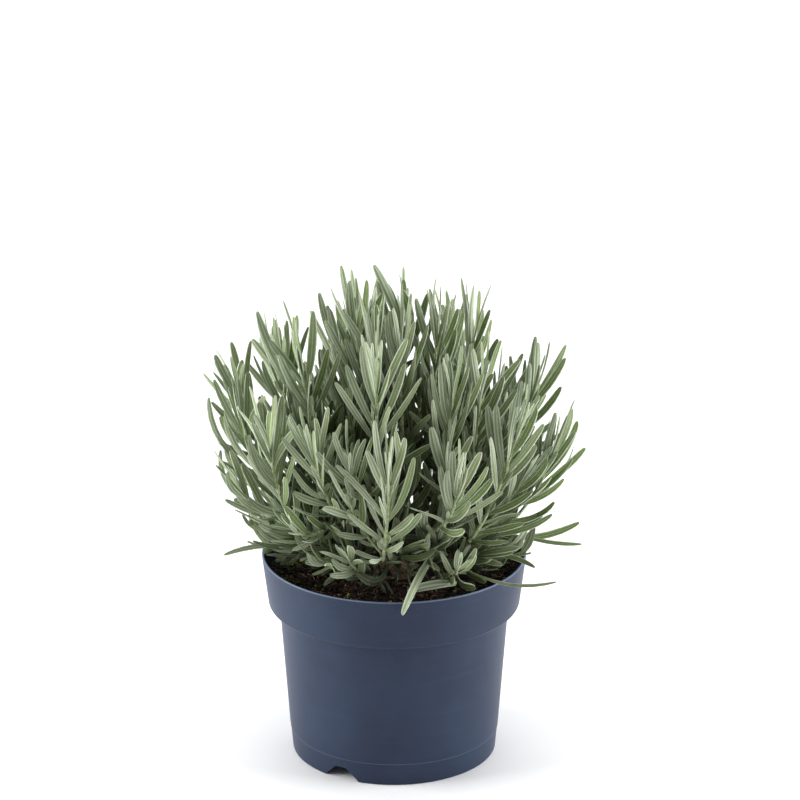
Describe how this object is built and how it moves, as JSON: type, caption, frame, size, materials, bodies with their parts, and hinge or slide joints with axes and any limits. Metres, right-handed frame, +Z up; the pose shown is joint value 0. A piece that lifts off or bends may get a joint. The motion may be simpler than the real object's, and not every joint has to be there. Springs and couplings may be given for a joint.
{
  "type": "potted lavender",
  "caption": "Bushy lavender plant with narrow silvery leaves, growing from a woody crown in a round plastic nursery pot of dark potting mix.",
  "frame": {"origin": "centre of the pot's foot, on the surface it stands on", "axes": "+Z up through the pot and the plant, -Y towards the front"},
  "size_m": [0.1853, 0.1852, 0.2455],
  "materials": {
    "pot_plastic": "satin injection-moulded polypropylene, dark slate blue",
    "potting_mix": "loose damp peat and bark crumbs",
    "bark": "dull grey-brown bark",
    "leaf": "matt downy leaf, grey-green"
  },
  "bodies": {
    "root": {"pot": "pot_plastic", "potting_mix": "potting_mix", "crown": "bark", "stem_01": "bark", "stem_02": "bark", "stem_03": "bark", "stem_04": "bark", "stem_05": "bark", "stem_06": "bark", "stem_07": "bark", "stem_08": "bark", "stem_09": "bark", "stem_10": "bark", "stem_11": "bark", "stem_12": "bark", "stem_13": "bark", "stem_14": "bark", "leaf_tuft_01": "leaf", "leaf_tuft_02": "leaf", "leaf_tuft_03": "leaf", "leaf_tuft_04": "leaf", "leaf_tuft_05": "leaf", "leaf_tuft_06": "leaf", "leaf_tuft_07": "leaf", "leaf_tuft_08": "leaf", "leaf_tuft_09": "leaf", "leaf_tuft_10": "leaf", "leaf_tuft_11": "leaf", "leaf_tuft_12": "leaf", "leaf_tuft_13": "leaf", "leaf_tuft_14": "leaf", "leaf_tuft_15": "leaf", "leaf_tuft_16": "leaf", "leaf_tuft_17": "leaf", "leaf_tuft_18": "leaf", "leaf_tuft_19": "leaf", "leaf_tuft_20": "leaf", "leaf_tuft_21": "leaf", "leaf_tuft_22": "leaf", "leaf_tuft_23": "leaf", "leaf_tuft_24": "leaf", "leaf_tuft_25": "leaf", "leaf_tuft_26": "leaf", "leaf_tuft_27": "leaf", "leaf_tuft_28": "leaf", "leaf_tuft_29": "leaf", "leaf_tuft_30": "leaf", "leaf_tuft_31": "leaf", "leaf_tuft_32": "leaf", "leaf_tuft_33": "leaf", "leaf_tuft_34": "leaf", "leaf_tuft_35": "leaf", "leaf_tuft_36": "leaf", "leaf_tuft_37": "leaf", "leaf_tuft_38": "leaf", "leaf_tuft_39": "leaf", "leaf_tuft_40": "leaf", "leaf_tuft_41": "leaf", "leaf_tuft_42": "leaf"}
  },
  "joints": []
}
